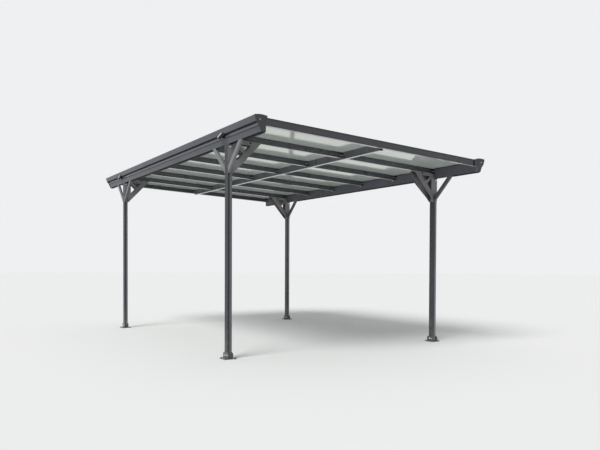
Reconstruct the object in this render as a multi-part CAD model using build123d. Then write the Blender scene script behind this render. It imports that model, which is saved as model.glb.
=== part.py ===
"""A free-standing carport: four posts, two side beams, a shallow single slope and seven roof panels.

Millimetres. Z is up, the open front faces -Y and the high side of the roof is at -X.
The origin is on the ground, under the middle of the roof.
"""
from build123d import *
import math
import os

os.makedirs("parts", exist_ok=True)

# Plan of the structure
post_spacing = 2850.0      # across, between the centre lines of the posts
bay = 716.0                # from one rafter to the next
bays = 7                   # roof panels from front to back
overhang_bays = 1          # bays that reach past the posts at each end
headroom = 2182.0          # under the high side beam
roof_fall = 131.0          # from one line of posts to the other

# Posts
post_w = 48.0
post_d = 74.0
post_wall = 2.0
post_corner = 3.0
post_groove_w = 14.0
post_groove_depth = 6.0

# Feet
foot_plate = 140.0
foot_plate_t = 5.0
foot_corner = 6.0
foot_hole = 11.0
foot_hole_inset = 18.0
foot_tab_t = 4.0
foot_tab_h = 62.0
foot_tab_w = 124.0
foot_tab_corner = 24.0

# Side beams, measured outward from the inner face and up from the underside
beam_h = 116.0             # height of the closed box
beam_channel_w = 32.0      # open channel along the underside, between two lips
beam_channel_depth = 10.0
beam_fold_out = 16.0       # how far the lower face leans out up to the ledge
beam_fold_h = 58.0         # height of the ledge
beam_shoulder_out = 24.0   # how far the upright band over the ledge stands out from the underside
beam_shoulder_h = 84.0
beam_groove_depth = 4.0
beam_groove_foot = 1.0
beam_wall = 2.5

# Edge rails that lie along the tops of the side beams
rail_bottom_h = 92.0       # underside of the rail above the underside of the beam
rail_top_h = 147.0
rail_bottom_out = 53.0     # lower lip, past the outer edge of the beam's underside
rail_top_out = 70.0
rail_lip_in = 16.0         # how far the rail reaches in over the panels
rail_wall = 3.0            # sheet thickness of the rail, measured level or upright
rail_stub_out = 34.0       # upright web of the rail that stands on the beam

# End caps
cap_t = 3.0
cap_rise = 8.0             # arch above the rail
cap_margin = 1.5           # how far the plate stands proud of the profile

# Roof
roof_seat = 120.0          # underside of the panels above the high beam's underside, at the posts
rafter_w = 40.0
rafter_h = 60.0
rafter_wall = 2.0
rafter_groove_h = 5.0      # drip groove along each side of a rafter
rafter_groove_depth = 2.0
rafter_groove_up = 9.0
centre_w = 42.0
centre_h = 78.0
panel_t = 6.0
panel_joint = 18.0         # between two panels, over a rafter
panel_bearing = 30.0       # how far a panel lies over the side beam
panel_gap = 2.0            # from the panel's edge to the upstand beside it
bar_w = 44.0               # glazing bar
bar_h = 8.0
bar_bevel = 3.0
seat_gap = 0.3

# Knee braces
brace_w = 24.0             # across
brace_d = 48.0             # in its own plane
brace_wall = 2.0
brace_reach = 262.0        # along the beam, from the gusset's plate to the middle of the brace
brace_drop = 254.0         # down the post, from the beam to the middle of the brace

# Gussets
gusset_wall = 4.0          # plates on the front and back of the post, and the webs that join them
gusset_reach = 325.0       # along the rafter, from the post
gusset_drop = 350.0        # down the post, from the rafter
gusset_leg = 46.0          # upright member, beside the post
gusset_top = 43.0          # top member, under the rafter
gusset_diagonal = 54.0
gusset_strut = 34.0
gusset_nose = 10.0         # blunt ends of the diagonal
gusset_fillet = 5.0

# Small fittings
cleat_w = 3.0              # sheet thickness of the rafter cleats
cleat_leg = 34.0
cleat_h = 48.0
keeper_t = 3.0             # plate that keeps the edge rail's lower edge, over each post
keeper_run = 100.0         # its long sides, along the beam and up
keeper_climb = 33.0
keeper_cut_run = 66.0      # its slanting ends, along the beam and down
keeper_cut_fall = 34.0
keeper_middle_h = 78.5
keeper_gap = 0.3           # from the plate's top corner to the rail
keeper_stub_w = 30.0       # stub that carries the plate, on the band of the beam
keeper_stub_h = 20.0

# Worked out from the sizes above
slope = roof_fall / post_spacing
roof_half = post_spacing / 2 - post_w / 2
run = bays * bay
roof_end = run / 2 + rafter_w / 2
post_y = (bays / 2 - overhang_bays) * bay
rafter_ys = [(i - bays / 2) * bay for i in range(bays + 1)]
sides = {"left": -1, "right": 1}
ends = {"front": -1, "rear": 1}
fall_dir = Vector(1, 0, -slope)


def roof_z(x):
    """Height of the underside of the panels at x."""
    return headroom + roof_seat - slope * (x + post_spacing / 2)


def beam_z(side):
    """Height of the underside of the side beam."""
    return headroom - roof_fall * (side + 1) / 2


def polygon(points):
    """A flat face through points, on the XY plane of the sketch."""
    return make_face(Polyline(*points, close=True))


def across_plane(y):
    """A vertical sketch plane that looks along Y: its x runs to the right and its y runs up."""
    return Plane(origin=(0, y, 0), x_dir=(1, 0, 0), z_dir=(0, -1, 0))


def along_plane(x):
    """A vertical sketch plane across X: its x runs to the back and its y runs up."""
    return Plane(origin=(x, 0, 0), x_dir=(0, 1, 0), z_dir=(1, 0, 0))


def run_along_y(face, y0, y1):
    """An extrusion of a face drawn in X and Z, from y0 to y1."""
    return extrude(across_plane(y1) * face, amount=y1 - y0)


def run_down_slope(face, x0, x1):
    """An extrusion of a face drawn in Y and Z at x0, along the fall of the roof up to x1."""
    length = (x1 - x0) * math.hypot(1, slope)
    return extrude(along_plane(x0) * face, amount=length, dir=fall_dir.normalized())


def side_points(side, points):
    """Beam coordinates, outward and up, as X and Z."""
    return [(side * (roof_half + out), beam_z(side) + up) for out, up in points]


def write(node, shape):
    """One STEP file for a node."""
    export_step(shape, f"parts/{node}.step")


# Posts and feet

def post(side, end):
    """A square-cornered tube with a groove down its front and back."""
    x, y = side * post_spacing / 2, end * post_y
    outer = RectangleRounded(post_w, post_d, post_corner)
    inner = Rectangle(post_w - 2 * post_wall, post_d - 2 * post_wall)
    for face_end in (-1, 1):
        centre = face_end * (post_d / 2 - post_groove_depth / 2)
        trough = face_end * (post_d / 2 - (post_groove_depth + post_wall) / 2)
        outer -= Pos(0, centre) * Rectangle(post_groove_w, post_groove_depth)
        inner -= Pos(0, trough) * Rectangle(post_groove_w + 2 * post_wall, post_groove_depth + post_wall)
    height = beam_z(side) - foot_plate_t
    return Pos(x, y, foot_plate_t) * extrude(outer - inner, amount=height)


def foot(side, end):
    """A base plate with anchor holes and two upright tabs that hold the post."""
    x, y = side * post_spacing / 2, end * post_y
    plate = extrude(RectangleRounded(foot_plate, foot_plate, foot_corner), amount=foot_plate_t)
    hole_at = foot_plate / 2 - foot_hole_inset
    for place in GridLocations(2 * hole_at, 2 * hole_at, 2, 2):
        plate -= place * extrude(Circle(foot_hole / 2), amount=foot_plate_t)
    tab_face = Rectangle(foot_tab_w, foot_tab_h)
    tab_face = fillet(tab_face.vertices().group_by(Axis.Y)[-1], foot_tab_corner)
    tab = extrude(Plane.YZ * tab_face, amount=foot_tab_t / 2, both=True)
    tab_x = post_w / 2 + foot_tab_t / 2
    for tab_side in (-1, 1):
        plate += Pos(tab_side * tab_x, 0, foot_plate_t + foot_tab_h / 2) * tab
    return Pos(x, y, 0) * plate


# Side beams, edge rails and caps

def beam_outline():
    """Outline of the side beam's box: a channel below, a leaning face, a ledge, a band and a groove."""
    groove_out = post_w + beam_shoulder_out - beam_groove_depth
    channel_in = (post_w - beam_channel_w) / 2
    channel_out = (post_w + beam_channel_w) / 2
    return [
        (0, 0),
        (channel_in, 0),
        (channel_in, beam_channel_depth),
        (channel_out, beam_channel_depth),
        (channel_out, 0),
        (post_w, 0),
        (post_w + beam_fold_out, beam_fold_h),
        (post_w + beam_shoulder_out, beam_fold_h),
        (post_w + beam_shoulder_out, beam_shoulder_h),
        (groove_out, beam_shoulder_h + beam_groove_foot),
        (groove_out, beam_h),
        (0, beam_h),
    ]


def beam_core():
    """Outline of the hollow inside the side beam."""
    core_out = post_w + beam_shoulder_out - beam_groove_depth - beam_wall
    lean = beam_fold_out / beam_fold_h
    floor = beam_channel_depth + beam_wall
    ledge = beam_fold_h + beam_wall
    return [
        (beam_wall, floor),
        (post_w - beam_wall + lean * floor, floor),
        (post_w - beam_wall + lean * beam_fold_h, ledge),
        (core_out, ledge),
        (core_out, beam_h - beam_wall),
        (beam_wall, beam_h - beam_wall),
    ]


def side_beam(side):
    """A closed gutter-shaped extrusion that the posts carry."""
    outer = polygon(side_points(side, beam_outline()))
    core = polygon(side_points(side, beam_core()))
    return run_along_y(outer - core, -roof_end, roof_end)


def lip_height(side, out):
    """Top of the panels at a distance out from the beam's inner face, above the beam's underside."""
    return roof_z(side * (roof_half + out)) + panel_t - beam_z(side)


def edge_rail(side):
    """The upper extrusion: a leaning outer face, a top and a lip that comes down on the panels."""
    groove_out = post_w + beam_shoulder_out - beam_groove_depth
    low_out = post_w + rail_bottom_out
    top_out = post_w + rail_top_out
    lean = (rail_top_out - rail_bottom_out) / (rail_top_h - rail_bottom_h)
    inner_low_out = low_out + lean * rail_wall - rail_wall
    inner_top_out = top_out - lean * rail_wall - rail_wall
    lip_foot = lip_height(side, -rail_lip_in) + seat_gap
    rail = [
        (groove_out, rail_bottom_h),
        (low_out, rail_bottom_h),
        (top_out, rail_top_h),
        (-rail_lip_in, rail_top_h),
        (-rail_lip_in, lip_foot),
        (-rail_lip_in + rail_wall, lip_foot),
        (-rail_lip_in + rail_wall, rail_top_h - rail_wall),
        (rail_stub_out, rail_top_h - rail_wall),
        (rail_stub_out, beam_h),
        (rail_stub_out + rail_wall, beam_h),
        (rail_stub_out + rail_wall, rail_top_h - rail_wall),
        (inner_top_out, rail_top_h - rail_wall),
        (inner_low_out, rail_bottom_h + rail_wall),
        (groove_out, rail_bottom_h + rail_wall),
    ]
    return run_along_y(polygon(side_points(side, rail)), -roof_end, roof_end)


def end_cap(side, end):
    """A thin plate over the end of a beam and its rail, with an arched top."""
    top_out = post_w + rail_top_out + cap_margin
    top = rail_top_h + cap_margin
    arch_out = (top_out - rail_lip_in) / 2
    corners = side_points(side, [
        (-rail_lip_in, top),
        (arch_out, top + cap_rise),
        (top_out, top),
        (post_w + rail_bottom_out + cap_margin, rail_bottom_h - cap_margin),
        (post_w + beam_shoulder_out + cap_margin, beam_fold_h - cap_margin),
        (post_w + cap_margin, -cap_margin),
        (0, -cap_margin),
        (0, lip_height(side, 0)),
        (-rail_lip_in, lip_height(side, -rail_lip_in)),
    ])
    start, crown, outer_top = corners[:3]
    edges = ThreePointArc(start, crown, outer_top) + Polyline(*corners[2:], start)
    face = make_face(edges)
    y0 = end * roof_end
    y1 = end * (roof_end + cap_t)
    return run_along_y(face, min(y0, y1), max(y0, y1))


# Roof frame

def rafter_outline(end):
    """A rafter's section: a box with a drip groove down each side and an upstand between the panels."""
    half = rafter_w / 2
    up = rafter_groove_up - rafter_h
    rib_front = -half if end < 0 else -panel_joint / 2 + panel_gap
    rib_back = half if end > 0 else panel_joint / 2 - panel_gap
    return [
        (-half, -rafter_h),
        (half, -rafter_h),
        (half, up),
        (half - rafter_groove_depth, up),
        (half - rafter_groove_depth, up + rafter_groove_h),
        (half, up + rafter_groove_h),
        (half, 0),
        (rib_back, 0),
        (rib_back, panel_t),
        (rib_front, panel_t),
        (rib_front, 0),
        (-half, 0),
        (-half, up + rafter_groove_h),
        (-half + rafter_groove_depth, up + rafter_groove_h),
        (-half + rafter_groove_depth, up),
        (-half, up),
    ]


def tidy_outline(points):
    """The outline without points that repeat the one before."""
    kept = [p for i, p in enumerate(points) if math.dist(p, points[i - 1]) > 0.01]
    return kept


def rafter_face(y, x, end):
    """The rafter's hollow section, placed at y with its top on the roof line at x."""
    points = tidy_outline(rafter_outline(end))
    outer = polygon([(y + a, roof_z(x) + b) for a, b in points])
    core_w = rafter_w - 2 * (rafter_wall + rafter_groove_depth)
    core_h = rafter_h - 2 * rafter_wall
    core = Pos(y, roof_z(x) - rafter_h / 2) * Rectangle(core_w, core_h)
    return outer - core


def rafter(index):
    """The end rafters run right across, the others stop at each side of the centre beam."""
    y = rafter_ys[index]
    end = -1 if index == 0 else 1 if index == bays else 0
    if end:
        return run_down_slope(rafter_face(y, -roof_half, end), -roof_half, roof_half)
    left = run_down_slope(rafter_face(y, -roof_half, end), -roof_half, -centre_w / 2)
    right = run_down_slope(rafter_face(y, centre_w / 2, end), centre_w / 2, roof_half)
    return Compound(children=[left, right])


def centre_beam():
    """The beam from front to back that the rafters are hung on; its top follows the slope."""
    half = centre_w / 2
    bottom = roof_z(0) - centre_h
    outer = polygon([(-half, bottom), (half, bottom), (half, roof_z(half)), (-half, roof_z(-half))])
    inside = half - rafter_wall
    core = polygon([
        (-inside, bottom + rafter_wall),
        (inside, bottom + rafter_wall),
        (inside, roof_z(inside) - rafter_wall),
        (-inside, roof_z(-inside) - rafter_wall),
    ])
    reach = run / 2 - rafter_w / 2
    return run_along_y(outer - core, -reach, reach)


def panel(index):
    """A translucent sheet between two rafters, tucked under the edge rails."""
    y0 = rafter_ys[index] + panel_joint / 2
    y1 = rafter_ys[index + 1] - panel_joint / 2
    edge = roof_half + panel_bearing
    z = roof_z(-edge)
    return run_down_slope(polygon([(y0, z), (y1, z), (y1, z + panel_t), (y0, z + panel_t)]), -edge, edge)


def glazing_bar(index):
    """The bar that holds down the panels over a rafter, with bevelled edges."""
    y = rafter_ys[index]
    front = -rafter_w / 2 if index == 0 else -bar_w / 2
    back = rafter_w / 2 if index == bays else bar_w / 2
    edge = roof_half - rail_lip_in - panel_gap
    z = roof_z(-edge) + panel_t
    face = polygon([
        (y + front, z),
        (y + back, z),
        (y + back, z + bar_h - bar_bevel),
        (y + back - bar_bevel, z + bar_h),
        (y + front + bar_bevel, z + bar_h),
        (y + front, z + bar_h - bar_bevel),
    ])
    return run_down_slope(face, -edge, edge)


# Bracing

def brace(side, end, way):
    """A tube from the gusset's plate up to the side beam, flush with the left face of the post."""
    x = side * post_spacing / 2 - (post_w - brace_w) / 2
    y_post = end * post_y + way * (post_d / 2 + gusset_wall)
    top = beam_z(side)
    foot_point = (y_post, top - brace_drop)
    head_point = (y_post + way * brace_reach, top)
    length = math.dist(foot_point, head_point)
    up_y = brace_d / 2 * length / brace_drop
    up_z = brace_d / 2 * length / brace_reach
    wall_y = up_y - brace_wall * length / brace_drop
    wall_z = up_z - brace_wall * length / brace_reach

    def leaning_face(dy, dz):
        return polygon([
            (foot_point[0], foot_point[1] - dz),
            (foot_point[0], foot_point[1] + dz),
            (head_point[0] - way * dy, head_point[1]),
            (head_point[0] + way * dy, head_point[1]),
        ])

    outer = extrude(along_plane(x) * leaning_face(up_y, up_z), amount=brace_w / 2, both=True)
    core_w = brace_w - 2 * brace_wall
    core = extrude(along_plane(x) * leaning_face(wall_y, wall_z), amount=core_w / 2, both=True)
    return outer - core


def braces(side, end):
    """The two braces of one post, one forward and one back."""
    return Compound(children=[brace(side, end, -1), brace(side, end, 1)])


def inset_line(p, q, distance):
    """The line p to q moved to its left, as a point and a direction."""
    length = math.dist(p, q)
    dx, dy = (q[0] - p[0]) / length, (q[1] - p[1]) / length
    return (p[0] - dy * distance, p[1] + dx * distance), (dx, dy)


def crossing(a, b):
    """Where two lines meet, each given as a point and a direction."""
    (ax, ay), (adx, ady) = a
    (bx, by), (bdx, bdy) = b
    step = ((bx - ax) * bdy - (by - ay) * bdx) / (adx * bdy - ady * bdx)
    return ax + step * adx, ay + step * ady


def window(corners, insets):
    """The polygon left when each side of a triangle moves in by its own distance."""
    count = len(corners)
    lines = [inset_line(corners[i], corners[(i + 1) % count], insets[i]) for i in range(count)]
    return [crossing(lines[i - 1], lines[i]) for i in range(count)]


def gusset_points(side, points):
    """Distances inward from the post's inner face, and heights, as X and Z."""
    return [(side * (roof_half - reach), z) for reach, z in points]


def under_rafter(side, reach):
    """Height of the rafter's underside at a distance inward from the post's inner face."""
    return roof_z(side * (roof_half - reach)) - rafter_h


def gusset_windows(side, heel, toe, tip):
    """Two triangular windows, parted by a strut that runs square from the diagonal to the heel."""
    span = Vector(*tip) - Vector(*toe)
    share = (Vector(*heel) - Vector(*toe)).dot(span) / span.length**2
    middle = (toe[0] + share * span.X, toe[1] + share * span.Y)
    lower = window([heel, toe, middle], [gusset_leg, gusset_diagonal, gusset_strut / 2])
    upper = window([heel, middle, tip], [gusset_strut / 2, gusset_diagonal, gusset_top])
    faces = [polygon(gusset_points(side, corners)) for corners in (lower, upper)]
    return [fillet(face.vertices(), gusset_fillet) for face in faces]


def gusset(side, end):
    """A bracket between post and rafter: a windowed plate on each face of the post, and two webs."""
    heel = (0, under_rafter(side, 0))
    toe = (0, heel[1] - gusset_drop)
    tip = (gusset_reach, under_rafter(side, gusset_reach))
    plate = polygon(gusset_points(side, [
        (-post_w, toe[1]),
        (gusset_nose, toe[1]),
        (tip[0], tip[1] - gusset_nose),
        tip,
        heel,
        (0, beam_z(side)),
        (-post_w, beam_z(side)),
    ]))
    for hole in gusset_windows(side, heel, toe, tip):
        plate -= hole
    webs = polygon(gusset_points(side, [
        heel,
        toe,
        (gusset_wall, toe[1]),
        (gusset_wall, under_rafter(side, gusset_wall) - gusset_wall),
        (tip[0], tip[1] - gusset_wall),
        tip,
    ]))
    y = end * post_y
    bracket = run_along_y(webs, y - post_d / 2, y + post_d / 2)
    for face_end in (-1, 1):
        near = y + face_end * post_d / 2
        far = near + face_end * gusset_wall
        bracket += run_along_y(plate, min(near, far), max(near, far))
    return bracket


# Small fittings

def cleat(x, y, way, hand):
    """An angle cleat: one leg on the beam's face, one leg on the side of the rafter."""
    z = roof_z(x) - rafter_h / 2 - cleat_h / 2
    y_side = y + hand * rafter_w / 2
    leg_y = (y_side, y_side + hand * cleat_leg)
    leg_x = (x, x + way * cleat_leg)
    on_beam = Box(cleat_w, cleat_leg, cleat_h, align=(Align.CENTER, Align.CENTER, Align.MIN))
    on_rafter = Box(cleat_leg, cleat_w, cleat_h, align=(Align.CENTER, Align.CENTER, Align.MIN))
    leg = Pos(x + way * cleat_w / 2, sum(leg_y) / 2, z) * on_beam
    arm = Pos(sum(leg_x) / 2, y_side + hand * cleat_w / 2, z) * on_rafter
    return leg + arm


def centre_cleats():
    """Cleats that hang the rafters on the centre beam: on both faces of it, and at its two ends."""
    made = []
    for y in rafter_ys[1:-1]:
        for way in (-1, 1):
            made.append(cleat(way * centre_w / 2, y, way, -1))
    for end in (-1, 1):
        for way in (-1, 1):
            made.append(cleat(way * centre_w / 2, end * run / 2, way, -end))
    return Compound(children=made)


def beam_cleats(side):
    """Cleats between the side beam and the rafters."""
    made = []
    for index, y in enumerate(rafter_ys):
        hand = 1 if index == 0 else -1
        made.append(cleat(side * roof_half, y, -side, hand))
    return Compound(children=made)


def beam_clip(side, end):
    """A slanting keeper plate on a stub, outside the rail's lower edge, over each post."""
    top_h = keeper_middle_h + (keeper_climb + keeper_cut_fall) / 2
    lean = (rail_top_out - rail_bottom_out) / (rail_top_h - rail_bottom_h)
    band_out = post_w + beam_shoulder_out
    plate_out = post_w + rail_bottom_out + lean * (top_h - rail_bottom_h) + keeper_gap
    long_side = Vector(keeper_run, keeper_climb) / 2
    short_side = Vector(-keeper_cut_run, keeper_cut_fall) / 2
    middle = Vector(0, beam_z(side) + keeper_middle_h)
    corners = [
        middle + long_side + short_side,
        middle - long_side + short_side,
        middle - long_side - short_side,
        middle + long_side - short_side,
    ]
    y = end * post_y
    x = side * (roof_half + plate_out)
    outline = polygon([(y + side * corner.X, corner.Y) for corner in corners])
    plate = extrude(along_plane(x) * outline, amount=side * keeper_t)
    stub_out = (band_out + plate_out) / 2
    stub_h = (beam_fold_h + beam_shoulder_h) / 2
    stub = Box(plate_out - band_out, keeper_stub_w, keeper_stub_h)
    return plate + Pos(side * (roof_half + stub_out), y, beam_z(side) + stub_h) * stub


for side_name, side in sides.items():
    write(f"{side_name}_side_beam", side_beam(side))
    write(f"{side_name}_edge_rail", edge_rail(side))
    write(f"{side_name}_cleats", beam_cleats(side))
    for end_name, end in ends.items():
        corner = f"{end_name}_{side_name}"
        write(f"{corner}_post", post(side, end))
        write(f"{corner}_foot", foot(side, end))
        write(f"{corner}_gusset", gusset(side, end))
        write(f"{corner}_braces", braces(side, end))
        write(f"{corner}_end_cap", end_cap(side, end))

for index in range(bays + 1):
    write(f"rafter_{index + 1}", rafter(index))
for index in range(bays):
    write(f"roof_panel_{index + 1}", panel(index))
write("glazing_bars", Compound(children=[glazing_bar(index) for index in range(bays + 1)]))
write("centre_beam", centre_beam())
write("centre_cleats", centre_cleats())
clips = [beam_clip(side, end) for side in sides.values() for end in ends.values()]
write("beam_clips", Compound(children=clips))
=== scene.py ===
# %% [markdown]
# A free-standing carport, dressed for the camera
#
# The structure is already there: posts, beams, rafters, braces and feet come from the imported model at
# their real size. This lesson gives them their finish, and adds what the structure lacks: the fluted roof
# sheets, the gaskets beside them, thin strips and plates of painted light and shade, and every bolt, screw
# and anchor. All of it is in metres, with Z up and the open front facing -Y.

# %% Load the structure
import math

import bmesh
import bpy
import numpy as np
from mathutils import Matrix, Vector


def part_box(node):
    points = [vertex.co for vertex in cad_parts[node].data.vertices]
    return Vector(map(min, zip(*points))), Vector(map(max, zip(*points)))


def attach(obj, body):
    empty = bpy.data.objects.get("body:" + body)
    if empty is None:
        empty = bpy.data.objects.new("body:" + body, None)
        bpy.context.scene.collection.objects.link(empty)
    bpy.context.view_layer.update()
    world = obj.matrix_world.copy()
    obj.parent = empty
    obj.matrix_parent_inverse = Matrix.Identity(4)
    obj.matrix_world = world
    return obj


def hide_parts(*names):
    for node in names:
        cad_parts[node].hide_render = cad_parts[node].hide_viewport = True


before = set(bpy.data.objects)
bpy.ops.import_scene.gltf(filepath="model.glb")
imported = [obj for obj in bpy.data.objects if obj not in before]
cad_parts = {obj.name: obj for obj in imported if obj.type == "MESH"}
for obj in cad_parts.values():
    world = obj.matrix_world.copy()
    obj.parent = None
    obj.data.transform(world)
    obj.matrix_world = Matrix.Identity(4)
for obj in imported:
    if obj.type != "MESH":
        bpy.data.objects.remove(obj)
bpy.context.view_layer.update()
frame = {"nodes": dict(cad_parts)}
nodes = frame["nodes"]

# %% [markdown]
# Where things are
#
# Everything that is added sits on something that is already there, so its place is read from the boxes of
# the structure's pieces. Typed-in places would be shorter, but they would stay behind if a beam moved. The
# roof falls to +X as one flat plane, and one function gives its height.

# %% Measures taken from the structure
SHEET_T = 0.006
CORNERS = ("front_left", "front_right", "rear_left", "rear_right")
RAFTERS = 8


def middle(node):
    """The middle of a node's box."""
    low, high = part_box(node)
    return (np.array(low) + np.array(high)) / 2


def beam_box(side):
    """The box of the side beam at -X or at +X."""
    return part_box("left_side_beam" if side < 0 else "right_side_beam")


sheet_low, sheet_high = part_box("roof_panel_1")
roof_fall = (sheet_high.z - sheet_low.z - SHEET_T) / (sheet_high.x - sheet_low.x)
roof_up = np.array([roof_fall, 0.0, 1.0]) / math.hypot(1, roof_fall)
rafter_ys = [middle(f"rafter_{i + 1}")[1] for i in range(RAFTERS)]
post_at = {corner: middle(f"{corner}_post") for corner in CORNERS}
side_of = {corner: math.copysign(1, post_at[corner][0]) for corner in CORNERS}
end_of = {corner: math.copysign(1, post_at[corner][1]) for corner in CORNERS}


def roof_z(x):
    """Height of the underside of the roof sheets at x.

    It is the height at the low edge, plus the fall times the distance from x to that edge.
    """
    return sheet_low.z + roof_fall * (sheet_high.x - x)


print("the roof falls", round(roof_fall * 1000, 1), "mm in each metre")

# %% [markdown]
# Shapes as arrays
#
# A surface is a grid of points, worked out all at once with numpy, and its faces are the cells of that
# grid. Two kinds of surface make all of the small parts here: a profile turned about an axis, for anything
# round or hexagonal, and an outline carried in a straight line, for strips and sheets. Primitives and
# modifiers would do for one bolt, but arrays copy better: a hundred bolts end up as one mesh.

# %% Grids, turned shapes and carried outlines
ALONG_X = (1, 0, 0)
ALONG_Y = (0, 1, 0)
ALONG_Z = (0, 0, 1)
TURN_STEPS = 24
SIXTH = math.pi / 3


def grid_faces(rows, columns):
    """Quads of a grid of points given row by row, where each row closes on itself."""
    row, column = np.meshgrid(np.arange(rows - 1), np.arange(columns), indexing="ij")
    near = row * columns
    far = near + columns
    after = (column + 1) % columns
    return np.stack([near + column, near + after, far + after, far + column], axis=-1).reshape(-1, 4)


def turned(profile, steps=TURN_STEPS):
    """A profile turned about Z: each row is radius, height and how hexagonal the ring is, from 0 to 1.

    A hexagon's radius at an angle is the distance of its flat divided by the cosine of the angle to it.
    """
    radius, height, hexagonal = np.array(profile, float).T[:, :, None]
    angle = np.arange(steps) * 2 * math.pi / steps
    from_flat = (angle + SIXTH / 2) % SIXTH - SIXTH / 2
    reach = radius * (1 - hexagonal + hexagonal / np.cos(from_flat))
    height = np.broadcast_to(height, reach.shape)
    points = np.stack([reach * np.cos(angle), reach * np.sin(angle), height], axis=-1).reshape(-1, 3)
    return points, grid_faces(len(profile), steps)


def carried(outline, start, end, across, up):
    """An outline carried from start to end, anticlockwise as seen from the end.

    A point is the start or the end, plus the outline's first number times across and its second times up.
    """
    outline = np.array(outline, float)
    ring = outline[:, :1] * np.array(across) + outline[:, 1:] * np.array(up)
    points = np.concatenate([ring + np.array(start), ring + np.array(end)])
    count = len(outline)
    caps = [list(range(count))[::-1], list(range(count, 2 * count))]
    return points, grid_faces(2, count).tolist() + caps


def slope_strip(outline, x0, x1):
    """An outline in Y and Z carried down the slope, with its heights above the underside of the sheets."""
    return carried(outline, (x0, 0, roof_z(x0)), (x1, 0, roof_z(x1)), ALONG_Y, ALONG_Z)


strip_points, strip_faces = slope_strip([(0, 0), (1, 0), (0, 1)], 0, 1)
print("a carried triangle has", len(strip_points), "points and", len(strip_faces), "faces")

# %% [markdown]
# Copies and objects
#
# A bolt is modelled once, standing on the origin and facing up. Each copy is turned to face out of the
# surface that it sits on, and moved there. Linked objects would save memory, but one mesh for each kind of
# fastener is simpler to hang on the structure.

# %% Copies, joins and finished pieces
CREASE = math.radians(35)
MERGE_WITHIN = 1e-6
NEARLY_Y = 0.9


def facing(way):
    """The 3 by 3 matrix that turns +Z to a direction: its columns are two square axes and the direction."""
    z = np.array(way, float) / np.linalg.norm(way)
    x = np.cross([0.0, 1.0, 0.0] if abs(z[1]) < NEARLY_Y else [0.0, 0.0, 1.0], z)
    x = x / np.linalg.norm(x)
    return np.stack([x, np.cross(z, x), z], axis=1)


def repeated(shape, places, ways):
    """Copies of a shape of quads, each turned so that its +Z faces its way, and then moved to its place."""
    points, quads = shape
    turns = np.array([facing(way) for way in ways])
    moved = np.einsum("kij,nj->kni", turns, points) + np.array(places)[:, None, :]
    counts = np.arange(len(places))[:, None, None] * len(points)
    return moved.reshape(-1, 3), (np.array(quads)[None] + counts).reshape(-1, 4)


def joined(shapes):
    """Several shapes as one, each one's faces counted on from the last."""
    points = np.concatenate([shape[0] for shape in shapes])
    starts = np.cumsum([0] + [len(shape[0]) for shape in shapes])
    faces = []
    for shape, start in zip(shapes, starts):
        faces += [(np.array(face) + start).tolist() for face in shape[1]]
    return points, faces


def piece(name, shape, finish, body="root"):
    """A finished object: repeated points are merged, and faces are smooth up to the crease angle."""
    points, faces = shape
    mesh = bpy.data.meshes.new(name)
    mesh.from_pydata(np.asarray(points).tolist(), [], [list(map(int, face)) for face in faces])
    made = bpy.data.objects.new(name, mesh)
    bpy.context.scene.collection.objects.link(made)
    work = bmesh.new()
    work.from_mesh(mesh)
    bmesh.ops.remove_doubles(work, verts=work.verts, dist=MERGE_WITHIN)
    work.to_mesh(mesh)
    work.free()
    mesh.validate()
    mesh.shade_smooth()
    mesh.set_sharp_from_angle(angle=CREASE)
    mesh.materials.append(finish)
    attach(made, body)
    print(name, len(mesh.vertices), "points", len(mesh.polygons), "faces")
    return made


print("straight up is", facing(ALONG_Z)[:, 2])

# %% [markdown]
# The finishes
#
# A finish is a small tree of nodes. Every pattern here reads Object coordinates, which are metres in the
# frame of the structure, so its scale is real: orange peel in powder coat is about 2 mm from crest to
# crest, and the die lines of an extrusion run along it for metres. Painted textures would need every
# piece unwrapped, and would blur close up.

# %% A short way to write node trees


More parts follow.
